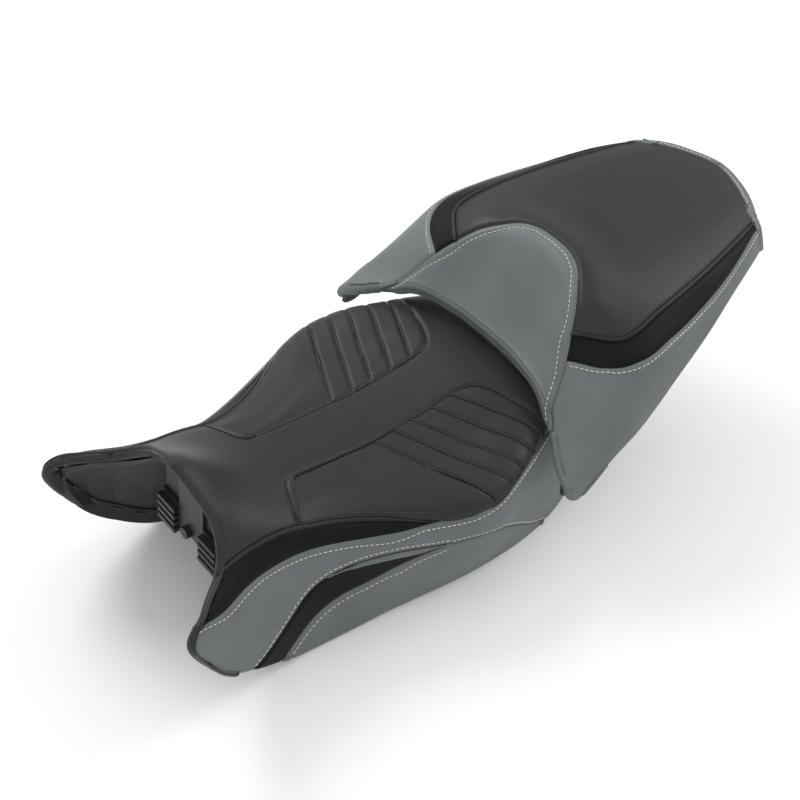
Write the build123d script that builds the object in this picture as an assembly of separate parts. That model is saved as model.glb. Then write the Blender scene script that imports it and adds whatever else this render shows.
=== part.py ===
"""Two-piece motorcycle seat: a rider seat that arches over the tank and a pillion seat behind it.

+X points to the nose, +Y to the rider's left, +Z up; millimetres. The origin is the centre of the
bounding box at the height of the lowest edge of the rider seat's base pan.
Each seat is a stack of saddle-shaped layers over one form: cover, foam, base pan.
The cover is cut along its seams into the panels that are sewn together.
"""
from build123d import *
from math import atan2, degrees
import os

# ---- driving dimensions ------------------------------------------------------------------------
COVER = 3.0            # thickness of the sewn cover with its scrim foam
PAN_WALL = 3.5         # wall of both moulded base pans
PIPING_HEIGHT = 2.0    # how far the piping stands out of the cover
PIPING_WIDTH = 6.0     # width of the piping, seen from above
TRIM_DEPTH = 4.0       # depth of the wrapped rim along the front arch
COVER_LIFT = 2.0       # the covers stop this far above the rider pan's lower edge
HINGE_X = -345.0       # line of the pillion seat's rear tongues
HINGE_Z = 196.0
TALL = 400.0           # longer than the seat is high or wide, for cutting prisms
ABOVE = 250.0          # higher than both pans, where parts that end on a pan's underside start

# Rider seat stations, nose to rear. Each row: x, crown height, then (half width, height) at the
# shoulder, the welt, the gusset's lower edge and the flank, then the half width at the hem.
RIDER = [
    (395, 206, (48, 188), (88, 157), (112, 138), (119, 85), 112),
    (365, 206, (48, 188), (88, 155), (109, 145), (118, 90), 112),
    (340, 206, (47, 184), (87, 153), (108, 138), (117, 75), 111),
    (318, 205, (44, 182), (80, 151), (99, 136), (114, 75), 111),
    (304, 204, (40, 183), (77, 150), (94, 135), (110, 75), 112),
    (285, 187, (38, 173), (74, 150), (90, 133), (105, 75), 113),
    (262, 168, (37, 162), (74, 147), (88, 128), (102, 75), 113),
    (235, 155, (37, 151), (75, 138), (89, 123), (101, 75), 114),
    (200, 148, (41, 144), (82, 130), (98, 118), (109, 72), 117),
    (160, 142, (50, 139), (101, 122), (113, 114), (120, 70), 119),
    (118, 138, (66, 134), (128, 116), (132, 110), (134, 70), 123),
    (63, 139, (74, 134), (146, 117), (149, 110), (147, 70), 128),
    (20, 144, (68, 140), (135, 128), (141, 118), (143, 70), 130),
    (-14, 149, (62, 146), (121, 130), (130, 116), (138, 70), 129),
    (-45, 148, (58, 146), (110, 131), (121, 114), (132, 66), 127),
    (-75, 144, (54, 142), (100, 127), (112, 109), (126, 62), 124),
]
RIDER_REAR = -70.0
# How far the foam's underside lies below the cover, on top and at the flanks, at each station.
RIDER_FOAM = [
    (4, 7), (4, 7), (4, 8), (5, 9), (9, 11), (18, 13), (28, 14), (38, 14),
    (44, 14), (46, 14), (46, 14), (46, 14), (44, 14), (38, 14), (30, 13), (22, 12),
]
# Share of the top and side offsets that each point of a rider section takes, in the thin cover
# and below the thick foam.
RIDER_SHARES = {
    "shallow": [(1.0, 0.0), (1.0, 0.1), (0.8, 0.6), (0.6, 0.9), (0.0, 1.0), (0.0, 1.0)],
    "deep": [(1.0, 0.0), (1.0, 0.1), (0.85, 0.7), (0.9, 0.95), (0.3, 1.0), (0.0, 1.0)],
}

# Front arch seen from above: (x, half width).
ARCH = [
    (320, 0), (316, 28), (312, 50), (316, 64), (323, 76), (334, 87), (352, 100), (368, 110), (384, 118),
]
# Side view of the rider seat's hem: front of the wing, under it, then back along the flank.
WING_HEM = [
    (382, 150), (383, 128), (375, 108), (363, 86), (345, 59), (318, 35), (284, 14), (262, 5), (240, 0),
]
REAR_HEM = [(-26, 0), (-48, 10), (-64, 30), (-74, 62)]     # the hem rises again behind the flank
# Welt around the rider's top panel and the gusset's lower edge, from above: (x, half width).
WELT = [
    (345, 88), (324, 82), (300, 76), (275, 74), (240, 74), (205, 81), (165, 98), (128, 122), (100, 137),
]
WELT_REAR = [(63, 147), (20, 136), (-14, 121), (-45, 110), (-80, 98)]
# Gusset's lower edge in side view: (x, height).
GUSSET_EDGE = [
    (390, 150), (365, 144), (325, 136), (298, 135), (255, 127), (218, 120), (159, 114), (128, 113),
]
# Panel with the sewn ribs: its inner border from above.
INSERT = [
    (237, 100), (237, 68), (229, 46), (222, 34), (208, 29), (165, 30), (100, 31), (40, 30), (12, 30),
]
INSERT_REAR = [(-4, 36), (-14, 52), (-22, 70), (-30, 88), (-36, 130)]
# The dark stripe in the flank in side view: tip, upper and lower edge down past the hem, and the
# seam that runs on from the tip to the rear of the hem.
STRIPE_TIP = (110, 87)
STRIPE_TOP = [(169, 92), (204, 90), (228, 84), (246, 76), (263, 63), (307, 28), (340, -4)]
STRIPE_LOW = [
    (148, 74), (182, 63), (208, 58), (226, 51), (241, 43), (262, 25), (284, 8), (296, -4),
]
REAR_SEAM = [(-90, -4), (-40, 4), (-10, 28), (20, 54), (52, 77), (84, 86)]

# Pillion seat stations, front to tail. Each row: x, crown height, then (half width, height) at
# two points of the top, the piping, the gusset's lower edge and the side, then the hem half width.
PILLION = [
    (12, 152, (55, 152), (100, 149), (125, 141), (142, 132), (172, 114), 181),
    (-15, 156, (55, 157), (100, 155), (123, 145), (140, 141), (171, 125), 181),
    (-40, 163, (55, 165), (95, 172), (115, 165), (135, 158), (171, 136), 180),
    (-60, 181, (50, 185), (90, 198), (110, 192), (130, 181), (169, 147), 177),
    (-80, 206, (45, 211), (76, 222), (103, 210), (129, 201), (167, 160), 173),
    (-100, 236, (35, 239), (62, 240), (116, 217), (143, 206), (164, 174), 168),
    (-123, 253, (32, 251), (70, 241), (120, 221), (146, 208), (160, 187), 161),
    (-150, 246, (40, 245), (80, 239), (117, 226), (142, 211), (155, 194), 154),
    (-200, 243, (44, 242), (82, 238), (111, 229), (132, 215), (143, 203), 139),
    (-260, 243, (42, 242), (76, 239), (100, 232), (117, 221), (124, 212), 119),
    (-320, 242, (38, 241), (68, 239), (88, 233), (98, 227), (103, 219), 98),
    (-355, 240, (32, 239), (56, 238), (72, 234), (82, 228), (88, 221), 85),
    (-395, 236, (28, 235), (48, 234), (64, 230), (74, 224), (80, 217), 78),
]
PILLION_FOAM = [
    (4, 4), (4, 5), (5, 6), (16, 7), (34, 8), (52, 9), (52, 9), (44, 9), (34, 9), (28, 9), (24, 9),
    (22, 9), (18, 9),
]
PILLION_SHARES = {
    "shallow": [(1.0, 0.0), (1.0, 0.0), (1.0, 0.1), (0.8, 0.5), (0.6, 0.8), (0.3, 1.0), (0.0, 1.0)],
    "deep": [(1.0, 0.0), (1.0, 0.0), (1.0, 0.1), (0.85, 0.5), (0.7, 0.8), (0.45, 1.0), (0.0, 1.0)],
}

# Front lip of the pillion seat and its rounded tail, from above: (x, half width).
LIP = [
    (-44, 0), (-42, 40), (-38, 62), (-30, 88), (-22, 112), (-12, 137), (-4, 150), (0, 165), (0, 190),
]
TAIL = [
    (-381, 0), (-380, 12), (-373, 32), (-364, 50), (-352, 70), (-340, 86), (-325, 120),
]
# Side view of the pillion seat's hem.
PILLION_HEM = [
    (1, 118), (-4, 105), (-15, 102), (-42, 121), (-102, 148), (-145, 174), (-203, 192), (-268, 203),
    (-330, 208), (-400, 208),
]
# Seam of the bolster, from the crest down to the lip, from above.
BOLSTER = [
    (-123, 0), (-121, 22), (-114, 40), (-101, 55), (-86, 70), (-58, 94), (-34, 109), (-19, 123), (0, 137),
]
# Piping of the pillion pad and the lower edge of its gusset, from above.
PAD = [
    (-60, 78), (-74, 88), (-90, 105), (-101, 117), (-115, 120), (-150, 117), (-230, 106), (-300, 92),
    (-345, 80),
]
PAD_GUSSET = [
    (-44, 70), (-58, 95), (-70, 114), (-86, 134), (-106, 143), (-150, 141), (-200, 132), (-260, 117),
    (-336, 91),
]

# Hardware, all of it under the two base pans.
RIDER_FEET = [(225, 40), (20, 70)]       # (x, half spacing) of the rubber feet
PILLION_FEET = [(-175, 85), (-285, 60)]
FOOT_RADIUS = 11.0
RIDER_FOOT_Z = 70.0
PILLION_FOOT_Z = 180.0
SCREW_RADIUS = 3.0
SCREW_HEAD = (5.5, 3.5)                  # radius and height
SCREW_LENGTH = 9.0
STRIKER_X = -140.0
STRIKER_ROD = 4.0
STRIKER_HALF = 17.0
STRIKER_DROP = 30.0
STRIKER_PLATE = (56.0, 76.0, 3.0)
STRIKER_Z = 186.0                        # upper face of the striker's plate
HOOK_Y = 45.0
HOOK_WIDTH = 24.0
TAB_Z = 78.0
TAB_HOLE_X = -94.0
TAB_HOLE_RADIUS = 3.4
TAB_HALF_SPACING = 60.0
TAB_WIDTH = 26.0
TAB_THICK = 3.0
TAB_SCREWS_X = [-42.0, -26.0]
BRACKET_X = 300.0                        # front face of the plate under the nose
BRACKET_HALF = 18.0
BRACKET_LOW = 96.0
BLOCK_OUTER = 44.0                       # outer side of the ribbed rubber blocks
BLOCK_LOW = 88.0
BLOCK_HIGH = 124.0
BLOCK_RIBS = 4
RIB_DEPTH = 6.0
HEM_BAND = 1.6                           # cover turned in under the pan's edge
HEM_WIDTH = 22.0
STAPLE_STEP = 24.0
STAPLE_SIZE = (10.0, 1.5)                # length along the hem, width across it
STAPLE_WIRE = 0.9

os.makedirs("parts", exist_ok=True)


# ---- forms ---------------------------------------------------------------------------------------
def section(x, half, floor):
    """Closed saddle section at one station: smooth over the top, straight down the sides."""
    side_y, side_z = half[-2]
    hem_y = half[-1][0]
    left = [(x, y, z) for y, z in half[1:-1]]
    right = [(x, -y, z) for y, z in reversed(half[1:-1])]
    over = Spline(*right, (x, 0, half[0][1]), *left)
    rest = Polyline((x, side_y, side_z), (x, hem_y, floor), (x, -hem_y, floor), (x, -side_y, side_z))
    return Face(Wire([over] + rest.edges()))


def form(stations, shares, floor, offsets):
    """Solid through all stations; offsets gives the (top, side) inset at each of them."""
    faces = []
    for (x, crown, *points, hem), (top, side) in zip(stations, offsets):
        outline = [(0, crown)] + list(points) + [(hem, floor)]
        half = [(y - side * b, z - top * a) for (y, z), (a, b) in zip(outline, shares)]
        faces.append(section(x, half, floor))
    return loft(faces, ruled=True)


def both_sides(half):
    """A half outline seen from above, continued by its mirror image on the right side."""
    return [(x, -y) for x, y in reversed(half) if y > 0] + list(half)


def plan_prism(curve, *corners):
    """Vertical prism over an area seen from above: a smooth curve closed by straight corners."""
    edge = Spline(*[(x, y, 0) for x, y in curve])
    rest = Polyline((curve[-1][0], curve[-1][1], 0), *[(x, y, 0) for x, y in corners],
                    (curve[0][0], curve[0][1], 0))
    return Pos(0, 0, -20) * extrude(Face(Wire([edge] + rest.edges())), TALL, dir=(0, 0, 1))


def side_prism(curve, *corners, y0=0.0):
    """Prism along +Y over an area in side view, from y0 outward."""
    edge = Spline(*[(x, y0, z) for x, z in curve])
    rest = Polyline((curve[-1][0], y0, curve[-1][1]), *[(x, y0, z) for x, z in corners],
                    (curve[0][0], y0, curve[0][1]))
    return extrude(Face(Wire([edge] + rest.edges())), TALL, dir=(0, 1, 0))


def slab(x0, x1, y0, y1, z0, z1):
    """Box between two corners."""
    return Pos((x0 + x1) / 2, (y0 + y1) / 2, (z0 + z1) / 2) * Box(x1 - x0, y1 - y0, z1 - z0)


def left_space():
    """Everything on the seat's left side."""
    return slab(-TALL, TALL, 0, TALL, -TALL, TALL)


def mirrored(shape):
    return mirror(shape, about=Plane.XZ)


def solids_of(shape, least=1.0):
    """The solids of a shape, without slivers under `least` cubic millimetres."""
    found = shape.solids()
    return [s for s in found if s.volume > least]


def save(name, shape):
    """One STEP file per node."""
    kept = solids_of(shape)
    body = kept[0] if len(kept) == 1 else Compound(children=kept)
    export_step(body, f"parts/{name}.step")
    return body


def save_pair(name, left):
    save(name + "_left", left)
    save(name + "_right", mirrored(left))


def layer(stations, shares, floor, foam, depth):
    """Form at a named depth of the stack, from the piping's top to inside the staples."""
    count = len(stations)
    offsets = {
        "proud": [(-PIPING_HEIGHT, -PIPING_HEIGHT)] * count,
        "outer": [(0, 0)] * count,
        "foam": [(COVER, COVER)] * count,
        "pan": [(COVER + t, COVER + s) for t, s in foam],
        "inside": [(COVER + t + PAN_WALL, COVER + s + PAN_WALL) for t, s in foam],
        "hem": [(COVER + t + PAN_WALL + HEM_BAND, COVER + s + PAN_WALL + HEM_BAND) for t, s in foam],
        "staple": [(COVER + t + PAN_WALL + HEM_BAND + STAPLE_WIRE,
                    COVER + s + PAN_WALL + HEM_BAND + STAPLE_WIRE) for t, s in foam],
    }[depth]
    deep = depth in ("pan", "inside", "hem", "staple")
    return form(stations, shares["deep" if deep else "shallow"], floor, offsets)


def shifted(curve, dx):
    return [(x + dx, y) for x, y in curve]


# ---- rider seat ----------------------------------------------------------------------------------
def rider_space(inset, lift):
    """Everything behind the front arch and above the hem; inset moves the arch back."""
    arch = plan_prism(both_sides(shifted(ARCH, -inset)), (384, 200), (RIDER_REAR, 200),
                      (RIDER_REAR, -200), (384, -200))
    hem = [(x - inset * 0.7, z + lift) for x, z in WING_HEM]
    above = side_prism(hem, (RIDER_REAR - 20, lift), (RIDER_REAR - 20, 330), (382, 330), y0=-200)
    rear = [(x, z + lift) for x, z in REAR_HEM]
    below = side_prism(rear, (-120, rear[-1][1]), (-120, -30), (rear[0][0], -30), y0=-200)
    return (arch & above) - below


def all_layers(stations, shares, floor, foam):
    names = ("proud", "outer", "foam", "pan", "inside", "hem", "staple")
    return {depth: layer(stations, shares, floor, foam, depth) for depth in names}


def stripe_prisms():
    """The dark stripe and the flank above it, as prisms that share the stripe's upper edge."""
    top = Spline(*[(x, 0, z) for x, z in [STRIPE_TIP] + STRIPE_TOP])
    low = Spline(*[(x, 0, z) for x, z in [STRIPE_TIP] + STRIPE_LOW])
    rear = Spline(*[(x, 0, z) for x, z in REAR_SEAM + [STRIPE_TIP]])
    top_end, low_end = STRIPE_TOP[-1], STRIPE_LOW[-1]
    foot = Line((top_end[0], 0, top_end[1]), (low_end[0], 0, low_end[1]))
    stripe = Face(Wire([top, low, foot]))
    around = Polyline((top_end[0], 0, top_end[1]), (420, 0, -4), (420, 0, 330), (-90, 0, 330), (-90, 0, -4))
    above = Face(Wire([rear, top] + around.edges()))
    return [extrude(face, TALL, dir=(0, 1, 0)) for face in (stripe, above)]


def rider_covers(layers):
    """Sewn cover panels: nose and centre, ribbed inserts, gussets, flanks, stripes and piping."""
    space = rider_space(TRIM_DEPTH, COVER_LIFT)
    left_half = left_space()
    skin = (layers["outer"] - layers["foam"]) & space & left_half
    proud_skin = (layers["proud"] - layers["foam"]) & space & left_half
    welt = WELT + WELT_REAR
    inside_welt = plan_prism(welt, (-80, 0), (400, 0), (400, 88))
    inside_pipe = plan_prism([(x, y + PIPING_WIDTH) for x, y in welt], (-80, 0), (400, 0), (400, 94))
    insert_area = plan_prism(INSERT + INSERT_REAR, (-36, 200), (237, 200))
    crescent = side_prism(GUSSET_EDGE, (128, 330), (390, 330))
    stripe, above_stripe = stripe_prisms()

    top_left = skin & inside_welt
    centre_left = top_left - insert_area
    outer_part = skin - inside_welt
    piping_strip = (inside_pipe - inside_welt) & crescent
    flank = outer_part - crescent
    save("rider_centre_cover", centre_left + mirrored(centre_left))
    save_pair("rider_ribbed_insert", top_left & insert_area)
    save_pair("rider_piping", proud_skin & piping_strip)
    save_pair("rider_gusset", (outer_part & crescent) - piping_strip)
    save_pair("rider_upper_flank", (flank - stripe) & above_stripe)
    save_pair("rider_stripe", flank & stripe)
    save_pair("rider_lower_flank", flank - stripe - above_stripe)


def rider_core(layers):
    """Foam, wrapped front rim and the bare base pan."""
    space = rider_space(TRIM_DEPTH, COVER_LIFT)
    rim = rider_space(0, COVER_LIFT) - plan_prism(
        both_sides(shifted(ARCH, -TRIM_DEPTH)), (384, 200), (-200, 200), (-200, -200), (384, -200))
    save("rider_foam", (layers["foam"] - layers["pan"]) & space)
    save("rider_front_trim", (layers["outer"] - layers["inside"]) & rim)
    return (layers["pan"] & rider_space(TRIM_DEPTH, 0)) - layers["inside"]


def upright(radius, x, y, z0, z1):
    """Round bar along Z."""
    return Pos(x, y, (z0 + z1) / 2) * Cylinder(radius, z1 - z0)


def feet(places, z, inside):
    """Rubber feet that hang from a pan's underside, two at each place along the seat."""
    found = [upright(FOOT_RADIUS, x, y * side, z, z + 60) & inside for x, y in places for side in (1, -1)]
    return Compound(children=[solid for foot in found for solid in foot.solids()])


def screw(x, y, z):
    """Pan-head screw pointing up; z is the underside of the plate it holds."""
    head = upright(SCREW_HEAD[0], x, y, z - SCREW_HEAD[1], z)
    return head + upright(SCREW_RADIUS, x, y, z, z + SCREW_LENGTH)


def nose_pieces(inside):
    """Bracket plate under the nose with its two ribbed rubber blocks and a round rubber stop."""
    plate = slab(BRACKET_X - 4, BRACKET_X, -BRACKET_HALF, BRACKET_HALF, BRACKET_LOW, ABOVE)
    shelf = slab(BRACKET_X - 18, BRACKET_X - 4, -BLOCK_OUTER, BLOCK_OUTER, BLOCK_HIGH, ABOVE)
    save("nose_bracket", (plate + shelf) & inside)
    core = slab(BRACKET_X - 16, BRACKET_X, BRACKET_HALF, BLOCK_OUTER, BLOCK_LOW, BLOCK_HIGH)
    pitch = (BLOCK_HIGH - BLOCK_LOW) / BLOCK_RIBS
    for i in range(BLOCK_RIBS):
        low = BLOCK_LOW + i * pitch
        core += slab(BRACKET_X, BRACKET_X + RIB_DEPTH, BRACKET_HALF, BLOCK_OUTER, low, low + pitch * 0.55)
    save_pair("nose_block", core)
    stop = Pos(BRACKET_X + 3, -3, BRACKET_LOW + 7) * Rot(0, 90, 0) * Cylinder(6, 6)
    save("nose_stop", stop)


def rear_tabs(pan, inside):
    """Two steel tabs behind the rider pan, each on a moulded boss with two screws."""
    reach = slab(TAB_HOLE_X - 13, TAB_SCREWS_X[-1] + 8, TAB_HALF_SPACING - TAB_WIDTH / 2,
                 TAB_HALF_SPACING + TAB_WIDTH / 2, TAB_Z - TAB_THICK, TAB_Z)
    reach -= upright(TAB_HOLE_RADIUS, TAB_HOLE_X, TAB_HALF_SPACING, 0, TALL)
    boss = slab(TAB_SCREWS_X[0] - 9, TAB_SCREWS_X[-1] + 8, TAB_HALF_SPACING - TAB_WIDTH / 2,
                TAB_HALF_SPACING + TAB_WIDTH / 2, TAB_Z, 160) & inside
    screws = [screw(x, TAB_HALF_SPACING, TAB_Z - TAB_THICK) for x in TAB_SCREWS_X]
    for item in screws:
        reach -= item
    pan += boss + mirrored(boss)
    for item in screws:
        pan = pan - item - mirrored(item)
    save_pair("rear_tab", reach)
    save("rear_tab_screws", Compound(children=screws + [mirrored(item) for item in screws]))
    return pan


def turned_hem(layers):
    """Cover turned in over the edge of the rider pan."""
    band = rider_space(TRIM_DEPTH, COVER_LIFT) - rider_space(TRIM_DEPTH, COVER_LIFT + HEM_WIDTH)
    return (layers["inside"] - layers["hem"]) & band


def staples(layers):
    """Wire staples in a row along the turned hem, on both sides."""
    row = Spline(*[(x - 10, 0, z + 13) for x, z in WING_HEM[2:] + [(120, 0), (-10, 0)]])
    count = int(row.length / STAPLE_STEP)
    wire = layers["hem"] - layers["staple"]
    found = []
    for i in range(count):
        at, along = row @ (i / (count - 1)), row % (i / (count - 1))
        turn = -degrees(atan2(along.Z, along.X))
        bar = Pos(at) * Rot(0, turn, 0) * Box(STAPLE_SIZE[0], TALL, STAPLE_SIZE[1])
        found += (bar & wire).solids()
    return Compound(children=found)


def rider_hardware(layers, pan):
    inside = layers["inside"]
    nose_pieces(inside)
    save("rider_feet", feet(RIDER_FEET, RIDER_FOOT_Z, inside))
    pan = rear_tabs(pan, inside)
    left_half = left_space()
    save_pair("rider_turned_hem", turned_hem(layers) & left_half)
    save("rider_staples", staples(layers))
    save("rider_base_pan", pan)


# ---- pillion seat --------------------------------------------------------------------------------
def pillion_space(inset):
    """Behind the lip, ahead of the tail and above the hem; inset shortens both ends."""
    front = plan_prism(both_sides(shifted(LIP, -inset)), (-420, 190), (-420, -190))
    rear = plan_prism(both_sides(shifted(TAIL, inset)), (-300, 200), (60, 200), (60, -200), (-300, -200))
    above = side_prism(PILLION_HEM, (-400, 330), (1, 330), y0=-200)
    return front & rear & above


def pillion_covers(layers):
    """Bolster, pad, piping, gussets and side covers, with the rims that wrap the lip and tail."""
    left_half = left_space()
    space = pillion_space(TRIM_DEPTH) & left_half
    skin = (layers["outer"] - layers["foam"]) & space
    proud_skin = (layers["proud"] - layers["foam"]) & space
    rim = ((layers["outer"] - layers["inside"]) & pillion_space(0) & left_half) - pillion_space(TRIM_DEPTH)
    tail_rim = rim & slab(-420, -250, 0, 200, 0, 300)
    bolster_area = plan_prism(BOLSTER, (30, 137), (30, 0))
    inside_pad = plan_prism(PAD, (-420, 80), (-420, 0), (-60, 0))
    inside_pipe = plan_prism([(x, y + PIPING_WIDTH) for x, y in PAD], (-420, 86), (-420, 0), (-60, 0))
    inside_gusset = plan_prism(PAD_GUSSET, (-420, 80), (-420, 0), (-44, 0))

    bolster = (skin + (rim - tail_rim)) & bolster_area
    rest = (skin + (rim - tail_rim)) - bolster_area
    pad = rest & inside_pad
    strip = (inside_pipe - inside_pad) & slab(-330, 0, 0, 200, 0, 300)
    save("pillion_bolster_cover", bolster + mirrored(bolster))
    save("pillion_pad_cover", pad + mirrored(pad))
    save_pair("pillion_piping", (proud_skin & strip) - bolster_area)
    save_pair("pillion_gusset", (rest & inside_gusset) - inside_pad - strip)
    save_pair("pillion_side_cover", rest - inside_gusset - inside_pad - strip)
    save("pillion_tail_band", tail_rim + mirrored(tail_rim))


def pillion_core(layers):
    space = pillion_space(TRIM_DEPTH)
    save("pillion_foam", (layers["foam"] - layers["pan"]) & space)
    return (layers["pan"] & space) - layers["inside"]


def striker(pan, inside):
    """Latch loop on a steel plate, screwed to a moulded boss under the front of the pillion pan."""
    length, width, thick = STRIKER_PLATE
    plate = slab(STRIKER_X - length / 2, STRIKER_X + length / 2, -width / 2, width / 2,
                 STRIKER_Z - thick, STRIKER_Z)
    boss = slab(STRIKER_X - length / 2, STRIKER_X + length / 2, -width / 2, width / 2,
                STRIKER_Z, ABOVE) & inside
    low = STRIKER_Z - thick - STRIKER_DROP
    top = STRIKER_Z - thick
    path = FilletPolyline((STRIKER_X, -STRIKER_HALF, top), (STRIKER_X, -STRIKER_HALF, low),
                          (STRIKER_X, STRIKER_HALF, low), (STRIKER_X, STRIKER_HALF, top), radius=9)
    profile = Plane(origin=path @ 0, z_dir=path % 0) * Circle(STRIKER_ROD)
    loop = sweep(profile, path=path)
    spots = [(STRIKER_X + dx * 20, dy * 30) for dx in (-1, 1) for dy in (-1, 1)]
    screws = [screw(x, y, STRIKER_Z - thick) for x, y in spots]
    pan += boss
    for item in screws:
        plate -= item
        pan -= item
    save("latch_striker", loop)
    save("striker_plate", plate)
    save("striker_screws", Compound(children=screws))
    return pan


def rear_hooks(inside):
    """Two tongues under the tail that catch the rear frame."""
    stem = slab(HINGE_X + 12, HINGE_X + 22, HOOK_Y - HOOK_WIDTH / 2, HOOK_Y + HOOK_WIDTH / 2,
                HINGE_Z - 10, ABOVE) & inside
    tongue = slab(HINGE_X - 10, HINGE_X + 12, HOOK_Y - HOOK_WIDTH / 2, HOOK_Y + HOOK_WIDTH / 2,
                  HINGE_Z - 10, HINGE_Z - 5)
    save_pair("rear_hook", stem + tongue)


def pillion_hardware(layers, pan):
    inside = layers["inside"]
    pan = striker(pan, inside)
    rear_hooks(inside)
    save("pillion_feet", feet(PILLION_FEET, PILLION_FOOT_Z, inside))
    save("pillion_base_pan", pan)


def main():
    rider = all_layers(RIDER, RIDER_SHARES, -12.0, RIDER_FOAM)
    rider_covers(rider)
    rider_hardware(rider, rider_core(rider))
    pillion = all_layers(PILLION, PILLION_SHARES, 60.0, PILLION_FOAM)
    pillion_covers(pillion)
    pillion_hardware(pillion, pillion_core(pillion))


main()
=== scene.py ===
"""Looks of a two-piece motorcycle seat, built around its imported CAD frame.

Each seat has one smooth form. Its cover is a set of patches of that form, cut along the seams.
A patch swells under a small cloth simulation, dips into its seams, is turned over at free edges
and is sewn with separate stitches. Guides are in millimetres in the frame of the CAD model.
"""

import math

import bmesh
import bpy
import numpy as np
from mathutils import Matrix, Vector
from mathutils.bvhtree import BVHTree


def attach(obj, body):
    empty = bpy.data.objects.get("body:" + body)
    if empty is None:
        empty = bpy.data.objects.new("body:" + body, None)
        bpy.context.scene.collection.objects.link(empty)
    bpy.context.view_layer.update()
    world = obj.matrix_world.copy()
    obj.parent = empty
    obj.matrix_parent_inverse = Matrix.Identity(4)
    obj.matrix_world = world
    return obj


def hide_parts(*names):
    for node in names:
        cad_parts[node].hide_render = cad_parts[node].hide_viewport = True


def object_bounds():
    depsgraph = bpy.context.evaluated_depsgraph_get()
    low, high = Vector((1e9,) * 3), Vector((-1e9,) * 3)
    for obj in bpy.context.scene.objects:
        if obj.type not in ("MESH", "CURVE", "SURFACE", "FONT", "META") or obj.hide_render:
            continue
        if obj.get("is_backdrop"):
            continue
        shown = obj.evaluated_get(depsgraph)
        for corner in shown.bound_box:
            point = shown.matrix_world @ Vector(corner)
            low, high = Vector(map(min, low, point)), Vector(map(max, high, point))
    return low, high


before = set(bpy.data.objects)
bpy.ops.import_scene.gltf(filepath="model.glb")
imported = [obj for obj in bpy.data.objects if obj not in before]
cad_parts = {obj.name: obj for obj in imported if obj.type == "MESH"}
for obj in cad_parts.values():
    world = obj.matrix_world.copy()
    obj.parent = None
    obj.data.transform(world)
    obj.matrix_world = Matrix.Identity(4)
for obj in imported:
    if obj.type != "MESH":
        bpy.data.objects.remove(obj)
cad_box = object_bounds()

# ---- guides --------------------------------------------------------------------------------------
# The stations are the CAD model's own. Rider seat: x, crown height, then (half width, height) at the
# shoulder, the welt, the gusset's lower edge and the flank, then the half width at the hem.
RIDER = [
    (395, 206, (48, 188), (88, 157), (112, 138), (119, 85), 112),
    (365, 206, (48, 188), (88, 155), (109, 145), (118, 90), 112),
    (340, 206, (47, 184), (87, 153), (108, 138), (117, 75), 111),
    (318, 205, (44, 182), (80, 151), (99, 136), (114, 75), 111),
    (304, 204, (40, 183), (77, 150), (94, 135), (110, 75), 112),
    (285, 187, (38, 173), (74, 150), (90, 133), (105, 75), 113),
    (262, 168, (37, 162), (74, 147), (88, 128), (102, 75), 113),
    (235, 155, (37, 151), (75, 138), (89, 123), (101, 75), 114),
    (200, 148, (41, 144), (82, 130), (98, 118), (109, 72), 117),
    (160, 142, (50, 139), (101, 122), (113, 114), (120, 70), 119),
    (118, 138, (66, 134), (128, 116), (132, 110), (134, 70), 123),
    (63, 139, (74, 134), (146, 117), (149, 110), (147, 70), 128),
    (20, 144, (68, 140), (135, 128), (141, 118), (143, 70), 130),
    (-14, 149, (62, 146), (121, 130), (130, 116), (138, 70), 129),
    (-45, 148, (58, 146), (110, 131), (121, 114), (132, 66), 127),
    (-75, 144, (54, 142), (100, 127), (112, 109), (126, 62), 124),
]
# Pillion seat: x, crown height, then (half width, height) at two points of the top, the
# piping, the gusset's lower edge and the side, then the half width at the hem.
PILLION = [
    (12, 152, (55, 152), (100, 149), (125, 141), (142, 132), (172, 114), 181),
    (-15, 156, (55, 157), (100, 155), (123, 145), (140, 141), (171, 125), 181),
    (-40, 163, (55, 165), (95, 172), (115, 165), (135, 158), (171, 136), 180),
    (-60, 181, (50, 185), (90, 198), (110, 192), (130, 181), (169, 147), 177),
    (-80, 206, (45, 211), (76, 222), (103, 210), (129, 201), (167, 160), 173),
    (-100, 236, (35, 239), (62, 240), (116, 217), (143, 206), (164, 174), 168),
    (-123, 253, (32, 251), (70, 241), (120, 221), (146, 208), (160, 187), 161),
    (-150, 246, (40, 245), (80, 239), (117, 226), (142, 211), (155, 194), 154),
    (-200, 243, (44, 242), (82, 238), (111, 229), (132, 215), (143, 203), 139),
    (-260, 243, (42, 242), (76, 239), (100, 232), (117, 221), (124, 212), 119),
    (-320, 242, (38, 241), (68, 239), (88, 233), (98, 227), (103, 219), 98),
    (-355, 240, (32, 239), (56, 238), (72, 234), (82, 228), (88, 221), 85),
    (-395, 236, (28, 235), (48, 234), (64, 230), (74, 224), (80, 217), 78),
]
RIDER_FLOOR = -12
PILLION_FLOOR = 60

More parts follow.
